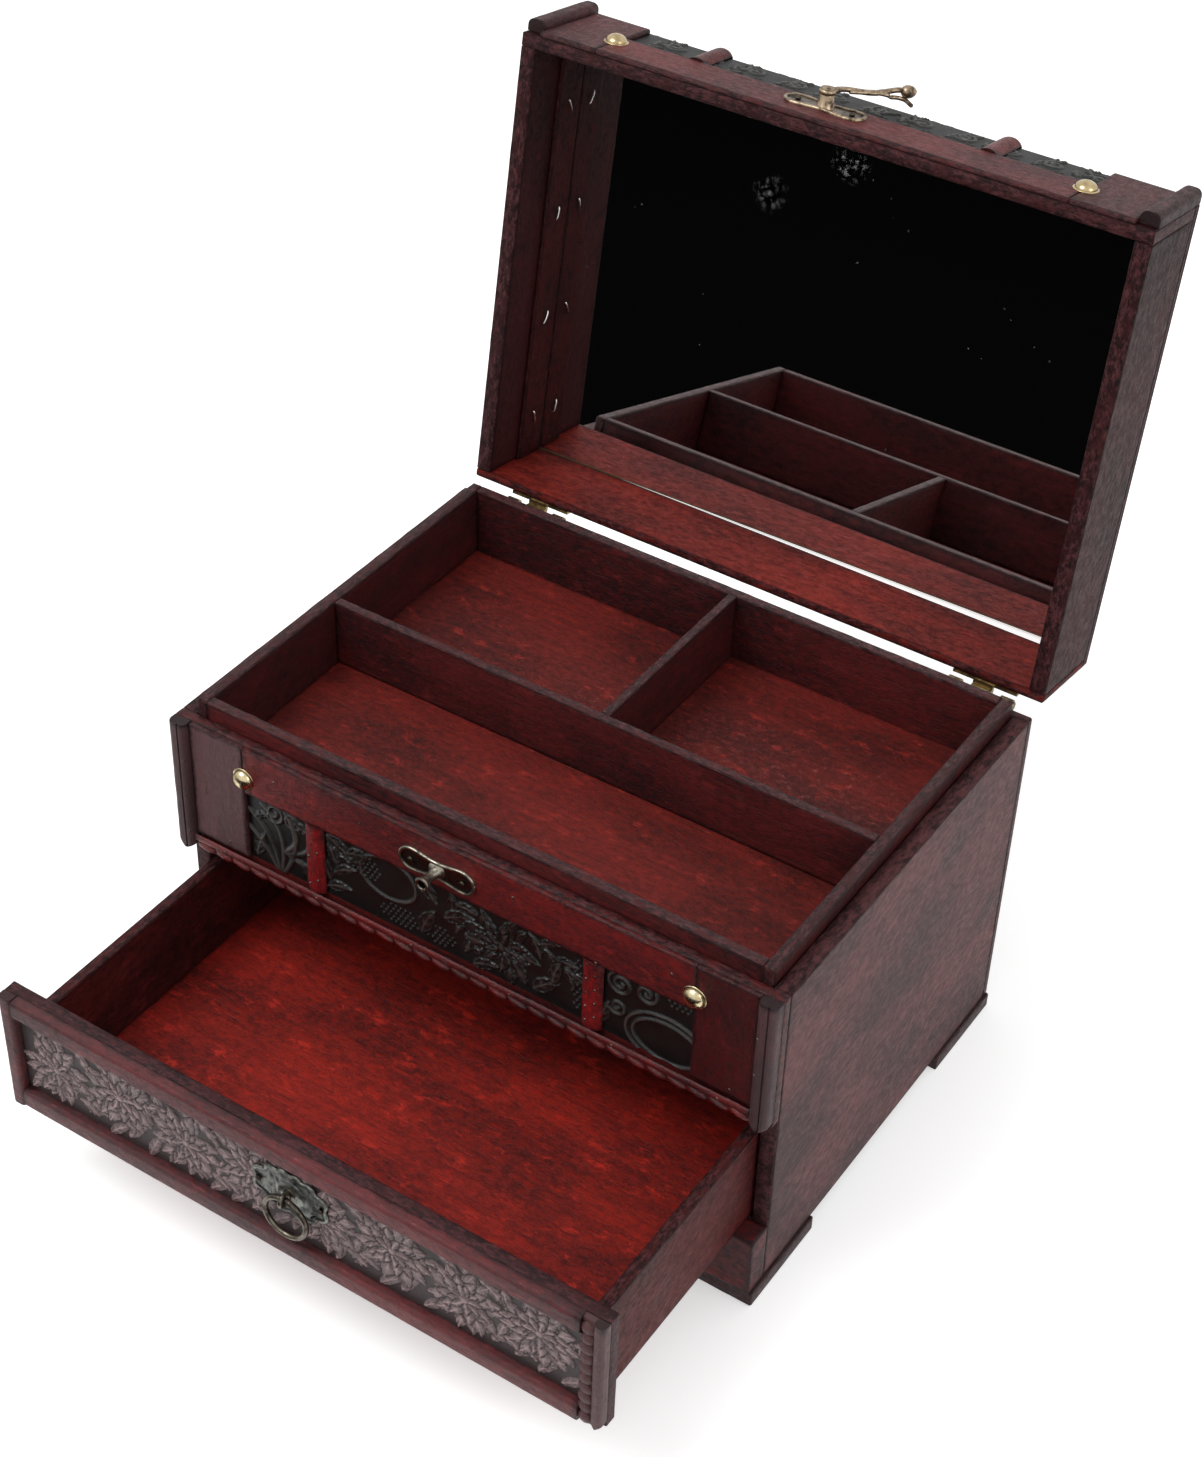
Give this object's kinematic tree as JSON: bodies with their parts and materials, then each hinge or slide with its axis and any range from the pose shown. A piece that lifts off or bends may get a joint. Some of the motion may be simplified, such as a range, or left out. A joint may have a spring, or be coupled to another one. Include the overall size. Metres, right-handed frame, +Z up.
{
  "type": "vanity box with mirror",
  "caption": "Wooden vanity case with a hinged mirror lid, a divided tray over a ring-pull drawer, leather-panelled trunk-style front and a swing-hook latch.",
  "frame": {"origin": "on the floor, in the middle of the object's outline as it stands with the lid open and the drawer pulled out; the middle of the case stands 10.2 mm behind it", "axes": "+X to the right along the front, +Y towards the back, -Y the front, +Z up"},
  "size_m": [0.252, 0.357, 0.3312],
  "materials": {
    "case_wood": "satin stained",
    "red_wood": "satin stained",
    "dark_wood": "satin stained",
    "leather": "embossed, semi-gloss",
    "antique_brass": "aged",
    "bright_brass": "polished",
    "mirror": "polished",
    "card": "matt",
    "steel": "plain"
  },
  "bodies": {
    "case": {"side_panels": "case_wood", "back_panel": "case_wood", "bay_floor": "red_wood", "bay_ceiling": "red_wood", "fascia_board": "red_wood", "plinth_board": "case_wood", "feet": "dark_wood", "fascia_rim_strip": "red_wood", "fascia_stiles": "case_wood", "fascia_leather": "leather", "fascia_straps": "red_wood", "fascia_bead": "red_wood", "fascia_corner_mouldings": "dark_wood", "fascia_dome_nails": "bright_brass", "keeper_plate": "antique_brass", "keeper_pins": "antique_brass", "tray_side_walls": "red_wood", "tray_end_walls": "red_wood", "tray_floor": "red_wood", "tray_long_divider": "red_wood", "tray_short_divider": "red_wood", "tray_cleats": "case_wood", "hinge_case_leaves": "antique_brass", "hinge_case_screws": "antique_brass", "hinge_pins": "antique_brass"},
    "lid": {"lid_front_wall": "dark_wood", "lid_back_wall": "dark_wood", "lid_side_walls": "case_wood", "lid_top_panel": "case_wood", "mirror_glass": "mirror", "mirror_card": "card", "mirror_slips": "red_wood", "slip_staples": "steel", "lid_rim_strip": "red_wood", "lid_stiles": "case_wood", "lid_front_leather": "leather", "lid_straps": "red_wood", "lid_corner_mouldings": "dark_wood", "lid_dome_nails": "bright_brass", "lid_top_frame": "case_wood", "lid_top_leather": "leather", "latch_plate": "antique_brass", "latch_pins": "antique_brass", "hinge_lid_leaves": "antique_brass", "hinge_lid_screws": "antique_brass"},
    "hook": {"latch_hook": "antique_brass"},
    "drawer": {"drawer_front_board": "dark_wood", "drawer_side_walls": "red_wood", "drawer_back_wall": "red_wood", "drawer_floor": "red_wood", "drawer_rail_mouldings": "case_wood", "drawer_left_moulding": "case_wood", "drawer_right_moulding": "dark_wood", "drawer_leather": "leather", "pull_plate": "antique_brass", "pull_pins": "antique_brass", "pull_eye": "antique_brass"},
    "ring": {"pull_ring": "antique_brass"}
  },
  "joints": [
    {"name": "lid_hinge", "type": "hinge", "parent": "case", "child": "lid", "pos_m": [0, 0.10416, 0.1425], "axis": [1, 0, 0], "range_deg": [0, 99.5]},
    {"name": "latch_pivot", "type": "hinge", "parent": "lid", "child": "hook", "pos_m": [-0.0058, 0.15058, 0.329], "axis": [0, -0.165, -0.9863], "range_deg": [-15, 142]},
    {"name": "drawer_slide", "type": "slide", "parent": "case", "child": "drawer", "axis": [0, -1, 0], "range_m": [-0.095, 0.02]},
    {"name": "pull_ring_swing", "type": "hinge", "parent": "drawer", "child": "ring", "pos_m": [0, -0.17539, 0.06363], "axis": [-1, 0, 0], "range_deg": [0, 85]}
  ]
}
